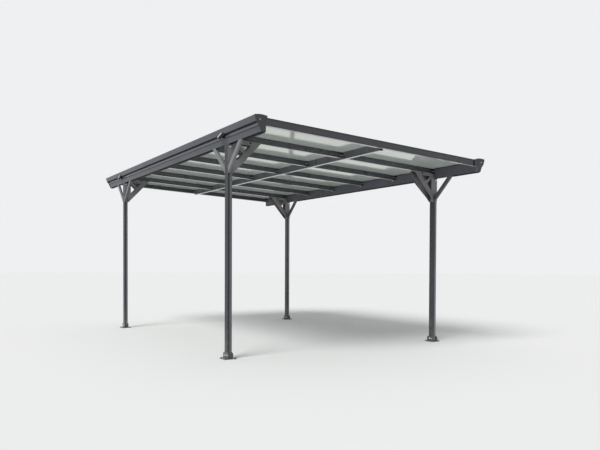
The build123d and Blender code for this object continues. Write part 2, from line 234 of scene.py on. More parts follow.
class Tree:
    """A material and a short way to add nodes to it."""

    def __init__(self, name):
        self.made = bpy.data.materials.new(name)
        self.made.use_nodes = True
        self.nodes = self.made.node_tree.nodes
        self.links = self.made.node_tree.links
        self.surface = self.nodes["Principled BSDF"]
        self.out = self.nodes["Material Output"]
        self.place = self.add("TexCoord").outputs["Object"]

    def add(self, kind, inputs=None, **settings):
        """A new node: settings are its own properties, inputs its sockets, as values or as other sockets."""
        node = self.nodes.new("ShaderNode" + kind)
        for key, value in settings.items():
            setattr(node, key, value)
        for key, value in (inputs or {}).items():
            self.feed(node.inputs[key], value)
        return node

    def feed(self, socket, value):
        """Links a socket, or sets it if the value is plain."""
        if isinstance(value, bpy.types.NodeSocket):
            self.links.new(value, socket)
        else:
            socket.default_value = value

    def noise(self, scale, detail=2.0, stretch=(1, 1, 1)):
        """Noise with that many waves in a metre, and fewer along an axis that is stretched."""
        spread = self.add("Mapping", {"Vector": self.place, "Scale": [1 / s for s in stretch]})
        sockets = {"Vector": spread.outputs["Vector"], "Scale": scale, "Detail": detail}
        return self.add("TexNoise", sockets).outputs["Fac"]

    def spread(self, value, low, high, start=0.3, stop=0.7):
        """The value, mapped from start and stop to low and high. Noise lies mostly from 0.3 to 0.7."""
        sockets = {"Value": value, "From Min": start, "From Max": stop, "To Min": low, "To Max": high}
        return self.add("MapRange", sockets).outputs["Result"]

    def calc(self, kind, first, second):
        """One step of arithmetic."""
        return self.add("Math", {0: first, 1: second}, operation=kind).outputs[0]

    def blend(self, share, first, second):
        """Two colours mixed."""
        mix = self.add("Mix", {"Factor": share}, data_type="RGBA")
        self.feed(mix.inputs[6], first)
        self.feed(mix.inputs[7], second)
        return mix.outputs[2]

    def shader_mix(self, share, first, second):
        """Two shaders mixed."""
        mix = self.add("MixShader", {0: share})
        self.links.new(first, mix.inputs[1])
        self.links.new(second, mix.inputs[2])
        return mix.outputs[0]

    def bump(self, height, distance, normal=None):
        """Bump of a height from 0 to 1, over a real distance."""
        sockets = {"Height": height, "Distance": distance, "Strength": 1.0}
        if normal is not None:
            sockets["Normal"] = normal
        return self.add("Bump", sockets).outputs["Normal"]


print("finishes are written with", Tree.__name__)

# %% [markdown]
# Powder coat is baked-on paint. Close up it has a fine orange peel, its gloss wanders a little, and under
# it the die lines of the extrusion can just be felt. The corners are a touch lighter: partly wear, where
# the coat is thinner and polished by handling, and partly a painted highlight. The Bevel node gives a
# normal that is rounded over the corner, and where that normal leaves the true one there is a corner.
# Grooves and inside corners get painted shade, and the Ambient Occlusion node finds those. Near the ground
# rain throws up some dust. What faces straight down can have a painted tone of its own, painted shade or a
# painted highlight. A painted mask could do each of these, but these nodes find the places by themselves
# on every piece.

# %% Powder coat
BLUE_GREY = np.array([0.078, 0.081, 0.093])
WARM_GREY = np.array([0.083, 0.080, 0.084])
NEUTRAL_GREY = np.array([0.081, 0.082, 0.087])
DARKER = 0.90
LIGHTER = 1.10
# Lighter corners: partly wear, partly a painted highlight.
EDGE_WEAR_AND_HIGHLIGHT = 2.6
EDGE_WEAR_AND_HIGHLIGHT_SHARE = 0.55
MOTTLE_SHARE = 0.12
# Painted shade: near black, for creases, grooves and the undersides of the side beams.
PAINTED_SHADE = (0.012, 0.012, 0.013, 1)
BLACKEST = 0.30
BELOW_SHARE = 0.75
DUST = (0.26, 0.245, 0.22, 1)
DUST_SHARE = 0.5
GLOSS = (0.26, 0.36)
LONG = 400
EDGE_R = 0.0012
CLOUD_WAVES = 2.5
MOTTLE_WAVES = 60.0
GLOSS_WAVES = 9.0
DUST_WAVES = 14.0
PEEL_WAVES = 420.0
DIE_WAVES = 260.0
LINE_SHARE = 0.5
RELIEF = 0.000015


def powder_coat(name, tone, along=None, dust_top=0.0, crease_shade=(0.02, 0.85, 0.8), below=None, polish=0.16,
                shine=0.5):
    """Satin powder coat of one tone, with die lines along an axis and dust up to a height.

    Crease shade is painted shade in grooves and corners: how far it looks for walls, its greatest share, and
    how open an unshaded spot is. Below is the painted tone of what faces down, painted shade or a painted
    highlight, and polish is how much less rough that is, or rougher where it is negative.
    """
    shade_reach, shade_share, unshaded_from = crease_shade
    tree = Tree(name)
    tree.surface.inputs["Specular IOR Level"].default_value = shine
    dark, light, worn_and_highlight = (tuple(tone * share) + (1.0,) for share in (DARKER, LIGHTER, EDGE_WEAR_AND_HIGHLIGHT))
    clouds = tree.noise(CLOUD_WAVES, 4.0)
    mottle = tree.noise(MOTTLE_WAVES, 2.0)
    colour = tree.blend(tree.spread(clouds, 0, 1), dark, light)
    colour = tree.blend(tree.spread(mottle, 0, MOTTLE_SHARE), colour, light)
    rounded = tree.add("Bevel", {"Radius": EDGE_R}, samples=4).outputs["Normal"]
    true_normal = tree.add("NewGeometry").outputs["Normal"]
    both = {0: rounded, 1: true_normal}
    likeness = tree.add("VectorMath", both, operation="DOT_PRODUCT").outputs["Value"]
    # Painted highlight, partly wear: the corners are lightened where the rounded normal leaves the true one.
    edge = tree.spread(likeness, EDGE_WEAR_AND_HIGHLIGHT_SHARE, 0.0, start=0.80, stop=0.995)
    colour = tree.blend(tree.calc("MULTIPLY", edge, tree.spread(mottle, 0.7, 1.0)), colour, worn_and_highlight)
    # Painted shade: grooves and inside corners are darkened where the Ambient Occlusion node finds walls
    # close by.
    open_share = tree.add("AmbientOcclusion", {"Distance": shade_reach}, samples=6).outputs["AO"]
    colour = tree.blend(tree.spread(open_share, shade_share, 0.0, BLACKEST, unshaded_from), colour, PAINTED_SHADE)
    roughness = tree.spread(tree.noise(GLOSS_WAVES, 3.0), *GLOSS)
    # Painted tone on what faces down: painted shade on the side beams, a painted highlight on the rafters
    # and the centre beam.
    if below is not None:
        down = tree.add("SeparateXYZ", {0: true_normal}).outputs["Z"]
        under = tree.spread(down, 1.0, 0.0, start=-0.95, stop=-0.8)
        colour = tree.blend(tree.calc("MULTIPLY", under, BELOW_SHARE), colour, below)
        roughness = tree.calc("SUBTRACT", roughness, tree.calc("MULTIPLY", under, polish))
    if dust_top:
        height = tree.add("SeparateXYZ", {0: tree.place}).outputs["Z"]
        fade = tree.spread(height, DUST_SHARE, 0.0, start=0.0, stop=dust_top)
        dust = tree.calc("MULTIPLY", fade, tree.spread(tree.noise(DUST_WAVES, 5.0), 0.1, 1.0))
        colour = tree.blend(dust, colour, DUST)
    tree.feed(tree.surface.inputs["Base Color"], colour)
    tree.feed(tree.surface.inputs["Roughness"], roughness)
    relief = tree.noise(PEEL_WAVES, 1.0)
    if along is not None:
        lines = tree.noise(DIE_WAVES, 1.0, [LONG if axis == along else 1 for axis in range(3)])
        relief = tree.calc("ADD", relief, tree.calc("MULTIPLY", lines, LINE_SHARE))
    tree.feed(tree.surface.inputs["Normal"], tree.bump(relief, RELIEF, rounded))
    return tree.made


print("powder coat is mixed from", BLUE_GREY, WARM_GREY, NEUTRAL_GREY)

# %% [markdown]
# Tones of coat
#
# Each family of pieces has its own tone: one of three greys times a number. Several of these tones are
# painted light and shade. The end rafters are painted darker than the inner ones, the glazing bars nearly
# black as painted shade along the top of the end rafters, and the cleats nearly black as painted shade.
# The brackets are lighter and warmer, and the braces of the front left post are painted paler, as lit,
# than the other braces, which are in shade. Posts, their strips and the brackets are painted lighter on
# the right than on the left, for how the light falls on them. The undersides differ too: the side beams
# carry near-black painted shade there, and the rafters and the centre beam a pale painted highlight on a
# smoother coat, as thin bright lines from afar. One colour for all would be simpler, but then the pieces
# run into each other.

# %% The coats
X_AXIS, Y_AXIS, Z_AXIS = range(3)
# Painted highlight on the undersides of the rafters and the centre beam.
PAINTED_UNDER_HIGHLIGHT = (0.50, 0.51, 0.50, 1)
# Painted shade in grooves and corners: how far it looks, its greatest share, and how open a spot must be to
# have none.
ROOF_CREASE_SHADE = (0.02, 0.6, 0.8)
BEAM_CREASE_SHADE = (0.012, 0.25, 0.8)
BRACKET_CREASE_SHADE = (0.08, 0.97, 0.86)
CLEAT_CREASE_SHADE = (0.03, 0.85, 0.8)
SPLASH_TOP = 0.35

# Painted light: the right posts are lighter and shinier than the left ones for how the light falls on them.
left_post_coat = powder_coat("left_post_coat", BLUE_GREY * 0.44, Z_AXIS, SPLASH_TOP, shine=0.18)
right_post_coat = powder_coat("right_post_coat", BLUE_GREY * 0.58, Z_AXIS, SPLASH_TOP, shine=0.35)
# Painted highlight: the post strips, lighter still on the right.
left_post_highlight_coat = powder_coat("left_post_highlight_coat", BLUE_GREY * 1.22, Z_AXIS, dust_top=0.2)
right_post_highlight_coat = powder_coat("right_post_highlight_coat", BLUE_GREY * 2.5, Z_AXIS, dust_top=0.2)
foot_coat = powder_coat("foot_coat", BLUE_GREY * 0.9, dust_top=0.12)
beam_coat = powder_coat("beam_coat", BLUE_GREY * 1.33, Y_AXIS, crease_shade=BEAM_CREASE_SHADE, below=PAINTED_SHADE, polish=-0.6,
                        shine=0.09)
# Painted light over the upright band of the side beams, which the rail above shades.
painted_light_coat = powder_coat("painted_light_coat", BLUE_GREY * 2.1, Y_AXIS, shine=0.3)
centre_coat = powder_coat("centre_coat", BLUE_GREY * 1.15, Y_AXIS, crease_shade=ROOF_CREASE_SHADE, below=PAINTED_UNDER_HIGHLIGHT)
rafter_coat = powder_coat("rafter_coat", BLUE_GREY * 0.74, X_AXIS, crease_shade=ROOF_CREASE_SHADE, below=PAINTED_UNDER_HIGHLIGHT)
# Painted shade: the end rafters are darker than the inner ones for how the light falls on them.
end_rafter_coat = powder_coat("end_rafter_coat", BLUE_GREY * 0.58, X_AXIS, crease_shade=ROOF_CREASE_SHADE,
                              below=PAINTED_UNDER_HIGHLIGHT, shine=0.35)
# Painted shade: the glazing bars are nearly black for the shade line along the top of the end rafters.
bar_coat = powder_coat("bar_coat", BLUE_GREY * 0.3, X_AXIS, crease_shade=ROOF_CREASE_SHADE, shine=0.35)
# Painted light: the right brackets are lighter than the left ones for how the light falls on them.
left_gusset_coat = powder_coat("left_gusset_coat", WARM_GREY * 1.85, crease_shade=BRACKET_CREASE_SHADE)
right_gusset_coat = powder_coat("right_gusset_coat", WARM_GREY * 2.4, crease_shade=BRACKET_CREASE_SHADE)
# Painted light: the front left braces are paler as lit, the other braces darker as in shade.
pale_brace_coat = powder_coat("pale_brace_coat", NEUTRAL_GREY * 1.8)
brace_coat = powder_coat("brace_coat", NEUTRAL_GREY * 1.1)
# Painted shade: the cleats are nearly black for the shade they sit in.
cleat_coat = powder_coat("cleat_coat", BLUE_GREY * 0.35, crease_shade=CLEAT_CREASE_SHADE)
print(len(bpy.data.materials), "materials so far")

# %% [markdown]
# The caps at the ends of the beams are moulded in dark plastic. It is duller than the coat beside it, and
# its surface is spark-eroded: a fine even grain of pits less than a millimetre across. Fine noise in the
# bump gives that grain, where real pits would take millions of faces. A blacker plastic of the same kind
# makes the plugs and the keeper plates and serves for the black screws. It also makes the black strips
# under the side beams and the black plates at the rafter ends, which stand in for shade.

# %% Moulded plastic
GRAIN_WAVES = 900.0
GRAIN_DEPTH = 0.00012


def moulded(name, dark, light, shine=0.5):
    """Dark moulded plastic with an eroded grain."""
    tree = Tree(name)
    tree.surface.inputs["Specular IOR Level"].default_value = shine
    colour = tree.blend(tree.spread(tree.noise(5.0, 3.0), 0, 1), dark, light)
    tree.feed(tree.surface.inputs["Base Color"], colour)
    tree.feed(tree.surface.inputs["Roughness"], tree.spread(tree.noise(30.0, 2.0), 0.5, 0.62))
    tree.feed(tree.surface.inputs["Normal"], tree.bump(tree.noise(GRAIN_WAVES, 2.0), GRAIN_DEPTH))
    return tree.made


cap_plastic = moulded("cap_plastic", (0.025, 0.0255, 0.029, 1), (0.034, 0.0345, 0.039, 1))
black_plastic = moulded("black_plastic", (0.008, 0.008, 0.009, 1), (0.014, 0.014, 0.016, 1), shine=0.05)
print("plastics", cap_plastic.name, black_plastic.name)

# %% [markdown]
# Gaskets are extruded rubber: nearly black, matt, with a faint bloom that greys it in patches. One noise
# drives both the grey and the dullness, because the bloom that greys the rubber also dulls it.

# %% Rubber
RUBBER_BLACK = (0.012, 0.012, 0.013, 1)
RUBBER_BLOOM = (0.03, 0.03, 0.031, 1)
SKIN_WAVES = 700.0
SKIN_DEPTH = 0.00005


def rubber(name):
    """Black gasket rubber with a grey bloom."""
    tree = Tree(name)
    bloom = tree.spread(tree.noise(12.0, 4.0), 0, 1)
    tree.feed(tree.surface.inputs["Base Color"], tree.blend(bloom, RUBBER_BLACK, RUBBER_BLOOM))
    tree.feed(tree.surface.inputs["Roughness"], tree.spread(bloom, 0.55, 0.75, 0, 1))
    tree.feed(tree.surface.inputs["Normal"], tree.bump(tree.noise(SKIN_WAVES, 2.0), SKIN_DEPTH))
    return tree.made


gasket_rubber = rubber("gasket_rubber")
print("rubber", gasket_rubber.name)

# %% [markdown]
# Bolts and anchors are zinc plated steel, and the bright strips on the keeper plates get the same finish.
# Zinc is a metal with a grey, slightly cloudy shine, because the plating grows in patches, so a cell
# pattern and a noise are added, and their sum picks both the grey and the polish. A plain grey metal would
# look like chrome.

# %% Zinc plate
PATCH_WAVES = 240.0
PATCH_SHARE = 0.6
HAZE_WAVES = 90.0
CRYSTAL_WAVES = 1200.0
CRYSTAL_DEPTH = 0.00004


def zinc(name, bright, dull, low_gloss, high_gloss):
    """Zinc plating: cloudy patches of two greys and of two polishes."""
    tree = Tree(name)
    patches = tree.add("TexVoronoi", {"Vector": tree.place, "Scale": PATCH_WAVES}).outputs["Distance"]
    haze = tree.calc("MULTIPLY", tree.noise(HAZE_WAVES, 3.0), PATCH_SHARE)
    cloudy = tree.calc("ADD", tree.calc("MULTIPLY", patches, PATCH_SHARE), haze)
    share = tree.spread(cloudy, 0, 1, 0.25, 0.75)
    tree.feed(tree.surface.inputs["Base Color"], tree.blend(share, bright, dull))
    tree.surface.inputs["Metallic"].default_value = 1.0
    tree.feed(tree.surface.inputs["Roughness"], tree.spread(share, low_gloss, high_gloss, 0, 1))
    tree.feed(tree.surface.inputs["Normal"], tree.bump(tree.noise(CRYSTAL_WAVES, 2.0), CRYSTAL_DEPTH))
    return tree.made


bolt_zinc = zinc("bolt_zinc", (0.86, 0.87, 0.88, 1), (0.68, 0.69, 0.70, 1), 0.16, 0.32)
anchor_zinc = zinc("anchor_zinc", (0.26, 0.255, 0.25, 1), (0.16, 0.155, 0.15, 1), 0.4, 0.65)
print("metals", bolt_zinc.name, anchor_zinc.name)

# %% [markdown]
# The roof sheets are twin-wall plastic. Two thin walls are held apart by ribs every few millimetres, and
# the light that comes through is milky, a little green, and streaked along the ribs. So the shader mixes
# three things: Translucent, which passes the sky on as a soft glow; Transparent, which lets some of it
# through unchanged; and the gloss of the smooth skin, which near a grazing view is a strong mirror. Real
# walls with real refraction would need a long render to say the same. The Fresnel node sets how much of
# the mirror shows, from the refractive index of the plastic. A clear pane has two faces, so a share F of
# one face becomes 2 F / (1 + F). Here 1.7 stands in the place of 2, which looks right for a milky sheet.

# %% Twin-wall plastic
FLUTE = 0.006
RIB_SHARE = 0.12
SHEET_INDEX = 1.58
SKIN_GLOSS = 1.7
MILK_LOW = (0.59, 0.63, 0.60, 1)
MILK_HIGH = (0.65, 0.69, 0.66, 1)
RIB_TONE = (0.46, 0.50, 0.475, 1)
CLEAR_TONE = (0.92, 0.96, 0.94, 1)
MIRROR_TONE = (0.98, 0.975, 0.945, 1)
FACE_SHARE = 0.2
CLEAR_SHARE = 0.14
CLEAR_AT_RIB = 0.05


def twin_wall(name):
    """Milky twin-wall sheet: a glow, some view through, ribs along X and a glossy skin."""
    tree = Tree(name)
    split = tree.add("SeparateXYZ", {0: tree.place})
    wave = tree.calc("PINGPONG", split.outputs["Y"], FLUTE / 2)
    rib = tree.spread(wave, 1.0, 0.0, 0.0, FLUTE * RIB_SHARE)
    haze = tree.spread(tree.noise(3.0, 3.0, (6, 1, 1)), 0, 1)
    glow = tree.blend(haze, MILK_LOW, MILK_HIGH)
    glow = tree.blend(tree.calc("MULTIPLY", rib, 0.35), glow, RIB_TONE)
    through = tree.add("BsdfTranslucent", {"Color": glow}).outputs[0]
    front = tree.add("BsdfDiffuse", {"Color": glow}).outputs[0]
    milk = tree.shader_mix(FACE_SHARE, through, front)
    clear = tree.add("BsdfTransparent", {"Color": CLEAR_TONE}).outputs[0]
    body = tree.shader_mix(tree.spread(rib, CLEAR_SHARE, CLEAR_AT_RIB, 0, 1), milk, clear)
    rough = tree.spread(tree.noise(8.0, 2.0, (10, 1, 1)), 0.06, 0.11)
    ripple = tree.bump(tree.noise(120.0, 1.0, (LONG, 1, 1)), 0.00001)
    mirror = {"Color": MIRROR_TONE, "Roughness": rough, "Normal": ripple}
    gloss = tree.add("BsdfGlossy", mirror).outputs[0]
    one_face = tree.add("Fresnel", {"IOR": SHEET_INDEX}).outputs[0]
    skins = tree.calc("MULTIPLY", one_face, SKIN_GLOSS)
    two_faces = tree.calc("DIVIDE", skins, tree.calc("ADD", one_face, 1.0))
    tree.links.new(tree.shader_mix(two_faces, body, gloss), tree.out.inputs["Surface"])
    tree.nodes.remove(tree.surface)
    return tree.made


sheet_plastic = twin_wall("sheet_plastic")
print("ribs every", FLUTE * 1000, "mm in", sheet_plastic.name)

# %% [markdown]
# The structure keeps its own meshes, and only its material slots are set: each family of pieces gets the
# coat whose die lines run along it. A piece could be listed by its full name, but a part of the name
# catches a whole family. The first part that fits counts, so the odd ones stand before their families.

# %% Give the structure its finishes
COAT_OF = {
    "left_post": left_post_coat,
    "right_post": right_post_coat,
    "_foot": foot_coat,
    "_side_beam": beam_coat,
    "_edge_rail": beam_coat,
    "_end_cap": cap_plastic,
    "left_gusset": left_gusset_coat,
    "right_gusset": right_gusset_coat,
    "front_left_braces": pale_brace_coat,
    "_braces": brace_coat,
    "rafter_1": end_rafter_coat,
    f"rafter_{RAFTERS}": end_rafter_coat,
    "rafter_": rafter_coat,
    "glazing_bars": bar_coat,
    "centre_beam": centre_coat,
    "cleats": cleat_coat,
    "clips": black_plastic,
}
finished = 0
for name, node in nodes.items():
    coat = next((coat for part, coat in COAT_OF.items() if part in name), None)
    if coat:
        node.data.materials.clear()
        node.data.materials.append(coat)
        finished += 1
print(finished, "of", len(nodes), "nodes have their finish")

# %% [markdown]
# The roof sheets, as they really are on the outside: the skin is drawn in a little between one rib and the
# next as the sheet cools, so its outline is a row of very shallow hollows. That is what stretches every
# reflection in such a roof across its ribs. Bump alone could say it, but the outline is one formula, a half
# sine between ribs, above and below, so it is carried down the slope as real shape.

# %% Fluted roof sheets
HOLLOW = 0.00002
STEPS_PER_FLUTE = 4


def fluted_outline(y0, y1):
    """The section of a sheet from y0 to y1.

    Its ends are flat, and both faces sink by the hollow times the size of the sine, once from rib to rib.
    """
    flutes = round((y1 - y0) / FLUTE)
    along = np.linspace(0, 1, flutes * STEPS_PER_FLUTE + 1)
    hollow = HOLLOW * np.abs(np.sin(math.pi * along * flutes))
    y = y0 + (y1 - y0) * along
    below = np.stack([y, hollow], axis=1)
    above = np.stack([y, SHEET_T - hollow], axis=1)[::-1]
    return np.concatenate([below, above])


for bay in range(1, RAFTERS):
    node_name = f"roof_panel_{bay}"
    low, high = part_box(node_name)
    shape = slope_strip(fluted_outline(low.y, high.y), low.x, high.x)
    sheet = piece(f"roof_sheet_{bay}", shape, sheet_plastic)
    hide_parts(node_name)

# %% [markdown]
# A rubber gasket runs down both sides of every rafter, between it and the sheets above, and shows as a thin
# dark line from below. Two more close the gap under the edges of each glazing bar on top. They could be
# curves with a round bevel, but a real one has a flat foot, so the outline is a flattened half circle.

# %% Gaskets
GASKET_W = 0.007
GASKET_H = 0.0028
GASKET_TUCK = 0.001
BAR_OVER = 0.002
ARC_POINTS = 7
rafter_low, rafter_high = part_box("rafter_3")
RAFTER_W = rafter_high.y - rafter_low.y
beam_inner = abs(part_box("right_side_beam")[0].x)


def lip_outline(y, foot, way):
    """A flattened half circle on a flat foot, standing up or hanging down.

    It runs half the width times the cosine across, and the height times the sine up or down.
    """
    angle = np.linspace(0, math.pi, ARC_POINTS)
    outline = np.stack([y + GASKET_W / 2 * np.cos(angle), foot + way * GASKET_H * np.sin(angle)], axis=1)
    return outline if way > 0 else outline[::-1]


gaskets = []
bar_low, bar_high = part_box("glazing_bars")
for index, y in enumerate(rafter_ys):
    for hand in (-1, 1):
        beyond = (index == 0 and hand < 0) or (index == RAFTERS - 1 and hand > 0)
        if beyond:
            continue
        edge = y + hand * (RAFTER_W / 2 + GASKET_W / 2 - GASKET_TUCK)
        gaskets.append(slope_strip(lip_outline(edge, 0, -1), -beam_inner, beam_inner))
        edge = y + hand * (RAFTER_W / 2 + BAR_OVER + GASKET_W / 2 - GASKET_TUCK)
        gaskets.append(slope_strip(lip_outline(edge, SHEET_T, 1), bar_low.x, bar_high.x))
piece("roof_gaskets", joined(gaskets), gasket_rubber)

# %% [markdown]
# Bolts next. A hexagon head on a washer is one turned profile: its rings are round in the washer, hexagonal
# in the head, and round again at the chamfer on top. A nut with the end of a stud standing out of it is the
# same idea with one more step, and a pan head screw is a quarter of an ellipse. Cutting a head out of a
# cylinder with booleans would give the same form with worse faces.

# %% Bolt, nut and screw shapes
ROUND = 0
HEX = 1
CHAMFER = 0.05
BOLT_CROWN = 0.46
NUT_CROWN = 0.47
WASHER_RIM = 0.75
WASHER_TOP = 0.96
STUD_BEVEL = 0.25
SOCKET_RIM = 0.85
SOCKET_TOP = 0.9
PAN_STEPS = 16
PAN_RINGS = 5


def hex_bolt(flats, washer_r, washer_t, head_h):
    """Washer and hexagon head, from the face they sit on upwards."""
    top = washer_t + head_h
    return turned([
        (0, 0, ROUND),
        (washer_r, 0, ROUND),
        (washer_r, washer_t * WASHER_RIM, ROUND),
        (washer_r * WASHER_TOP, washer_t, ROUND),
        (flats / 2, washer_t, HEX),
        (flats / 2, top - flats * CHAMFER, HEX),
        (flats * BOLT_CROWN, top, ROUND),
        (0, top, ROUND),
    ])


def stud_and_nut(flats, washer_r, washer_t, nut_h, stud_r, stud_h):
    """Washer, nut and the end of the stud above it."""
    top = washer_t + nut_h
    return turned([
        (0, 0, ROUND),
        (washer_r, 0, ROUND),
        (washer_r, washer_t, ROUND),
        (flats * NUT_CROWN, washer_t, ROUND),
        (flats / 2, washer_t + flats * CHAMFER, HEX),
        (flats / 2, top - flats * CHAMFER, HEX),
        (flats * NUT_CROWN, top, ROUND),
        (stud_r, top, ROUND),
        (stud_r, top + stud_h - stud_r * STUD_BEVEL, ROUND),
        (stud_r * (1 - STUD_BEVEL), top + stud_h, ROUND),
        (0, top + stud_h, ROUND),
    ])


def pan_head(radius, height):
    """A quarter of an ellipse turned about its axis: radius times the cosine, height times the sine."""
    angle = np.linspace(0, math.pi / 2, PAN_RINGS)
    arc = [(radius * math.cos(a), height * math.sin(a), ROUND) for a in angle]
    return turned([(0, 0, ROUND)] + arc, PAN_STEPS)


def socket_head(radius, height, key_flats):
    """A round head with a hexagon sunk into it, two thirds of its height."""
    return turned([
        (0, 0, ROUND),
        (radius, 0, ROUND),
        (radius, height * SOCKET_RIM, ROUND),
        (radius * SOCKET_TOP, height, ROUND),
        (key_flats / 2, height, HEX),
        (key_flats / 2, height / 3, HEX),
        (0, height / 3, ROUND),
    ])


m6_bolt = hex_bolt(flats=0.010, washer_r=0.0068, washer_t=0.0014, head_h=0.004)
m8_bolt = hex_bolt(flats=0.013, washer_r=0.0085, washer_t=0.0016, head_h=0.0053)
m8_flange = hex_bolt(flats=0.013, washer_r=0.0105, washer_t=0.002, head_h=0.0055)
m8_socket = socket_head(radius=0.0085, height=0.004, key_flats=0.008)
m10_anchor = stud_and_nut(flats=0.017, washer_r=0.0115, washer_t=0.002, nut_h=0.006, stud_r=0.005,
                          stud_h=0.002)
print("a bolt has", len(m8_bolt[1]), "faces and an anchor", len(m10_anchor[1]))

# %% [markdown]
# Each foot is held to its post by two bolts through each upright tab, and to the ground by four anchors
# through the plate. The anchors stand a little proud, with the washer, nut and cut stud of a real one. The
# places are loops over sides and steps, so every foot gets the same pattern.

# %% Foot bolts and anchors
TAB_T = 0.004
PLATE_T = 0.005
TAB_BOLT_SPREAD = 0.034
TAB_BOLT_Z = 0.036
ANCHOR_SPREAD = 0.104
post_low, post_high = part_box("front_left_post")
POST_W = post_high.x - post_low.x

tab_places, tab_ways, anchor_places = [], [], []
for corner, (x, y, _) in post_at.items():
    for hand in (-1, 1):
        for step in (-1, 1):
            tab_places.append((x + hand * (POST_W / 2 + TAB_T), y + step * TAB_BOLT_SPREAD / 2, TAB_BOLT_Z))
            tab_ways.append((hand, 0, 0))
            anchor_places.append((x + hand * ANCHOR_SPREAD / 2, y + step * ANCHOR_SPREAD / 2, PLATE_T))
piece("foot_bolts", repeated(m8_bolt, tab_places, tab_ways), bolt_zinc)
piece("anchors", repeated(m10_anchor, anchor_places, [ALONG_Z] * len(anchor_places)), anchor_zinc)

# %% [markdown]
# A bracket is held by a bright bolt through its front and rear plate, close under the beam, and by a black
# socket screw in its top member, where it takes hold of the rafter. Both sit on the plates' outer faces,
# which the box of each bracket gives.

# %% Bracket bolts
PLATE_BOLT_DROP = 0.024
RAFTER_SCREW_IN = 0.206
RAFTER_SCREW_DROP = 0.017
RAFTER_H = roof_z(rafter_high.x) - rafter_low.z


def rafter_foot(x):
    """Height of the underside of the rafters at x."""
    return roof_z(x) - RAFTER_H


bolt_places, screw_places, plate_ways = [], [], []
for corner, (x, _, _) in post_at.items():
    side = side_of[corner]
    plate_low, plate_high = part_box(f"{corner}_gusset")
    bolt_z = beam_box(side)[0].z - PLATE_BOLT_DROP
    screw_x = side * (beam_inner - RAFTER_SCREW_IN)
    screw_z = rafter_foot(screw_x) - RAFTER_SCREW_DROP
    for y, way in ((plate_low.y, -1), (plate_high.y, 1)):
        bolt_places.append((x, y, bolt_z))
        screw_places.append((screw_x, y, screw_z))
        plate_ways.append((0, way, 0))
piece("bracket_bolts", repeated(m8_flange, bolt_places, plate_ways), bolt_zinc)
piece("bracket_screws", repeated(m8_socket, screw_places, plate_ways), black_plastic)

# %% [markdown]
# Every rafter hangs in angle cleats, one leg on the beam and one on the rafter, and each leg has its own
# bolt. The places follow from the cleat's own measures: its leg, its thickness, and the middle of the
# rafter's height. On the side beams one more bolt goes into the beam just behind and below each rafter,
# where no bracket is in its way.

# %% Cleat bolts
CLEAT_LEG = 0.034
CLEAT_T = 0.003
ALONG_LEG = 0.55
BEAM_BOLT_OFF = 0.016
BEAM_BOLT_DROP = 0.004
CLEAR_OF_BRACKETS = range(2, RAFTERS - 2)
centre_low, centre_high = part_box("centre_beam")
CENTRE_HALF = (centre_high.x - centre_low.x) / 2

cleat_places, cleat_ways = [], []


def bolt_cleat(x, y, way, hand):
    """One bolt in each leg of the cleat whose corner is at x and on the side of the rafter at y."""
    z = roof_z(x) - RAFTER_H / 2
    side_y = y + hand * RAFTER_W / 2
    cleat_places.append((x + way * CLEAT_T, side_y + hand * CLEAT_LEG * ALONG_LEG, z))
    cleat_ways.append((way, 0, 0))
    cleat_places.append((x + way * CLEAT_LEG * ALONG_LEG, side_y + hand * CLEAT_T, z))
    cleat_ways.append((0, hand, 0))


for index, y in enumerate(rafter_ys):
    hand = 1 if index == 0 else -1
    for side in (-1, 1):
        bolt_cleat(side * beam_inner, y, -side, hand)
        bolt_cleat(side * CENTRE_HALF, y, side, hand)
        if index in CLEAR_OF_BRACKETS:
            x = side * beam_inner
            cleat_places.append((x, y + RAFTER_W / 2 + BEAM_BOLT_OFF, rafter_foot(x) - BEAM_BOLT_DROP))
            cleat_ways.append((-side, 0, 0))
piece("cleat_bolts", repeated(m6_bolt, cleat_places, cleat_ways), bolt_zinc)

# %% [markdown]
# The glazing bars are screwed down through the joints of the sheets, about every 350 millimetres, with pan
# heads on wide washers that seal the hole. One small screw holds each moulded cap. The row of screws is
# spaced from the ends of the bars inwards, so that it comes out even.

# %% Bar screws and cap screws
SCREW_STEP = 0.35
SCREW_END = 0.12
WASHER_R = 0.009
WASHER_EDGE = 0.001
WASHER_T = 0.0016
HEAD_SEAT_R = 0.005
CAP_SCREW_OUT = 0.062
CAP_SCREW_UP = 0.109
BAR_H = bar_high.z - roof_z(bar_low.x) - SHEET_T
count = round((bar_high.x - bar_low.x - 2 * SCREW_END) / SCREW_STEP) + 1
screw_xs = np.linspace(bar_low.x + SCREW_END, bar_high.x - SCREW_END, count)
bar_places = [(x, y, roof_z(x) + SHEET_T + BAR_H) for y in rafter_ys for x in screw_xs]
washer = turned([
    (0, 0, ROUND),
    (WASHER_R, 0, ROUND),
    (WASHER_R, WASHER_EDGE, ROUND),
    (HEAD_SEAT_R, WASHER_T, ROUND),
    (0, WASHER_T, ROUND),
])
head_points, head_faces = pan_head(radius=0.0055, height=0.0035)
bar_screw = joined([washer, (head_points + np.array([0, 0, WASHER_T]), head_faces)])
piece("bar_screws", repeated(bar_screw, bar_places, [roof_up] * len(bar_places)), bolt_zinc)

cap_places, cap_ways = [], []
for corner in CORNERS:
    side = side_of[corner]
    cap_low, cap_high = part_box(f"{corner}_end_cap")
    y = cap_low.y if end_of[corner] < 0 else cap_high.y
    cap_places.append((side * (beam_inner + CAP_SCREW_OUT), y, beam_box(side)[0].z + CAP_SCREW_UP))
    cap_ways.append((0, end_of[corner], 0))
piece("cap_screws", repeated(pan_head(radius=0.005, height=0.003), cap_places, cap_ways), bolt_zinc)

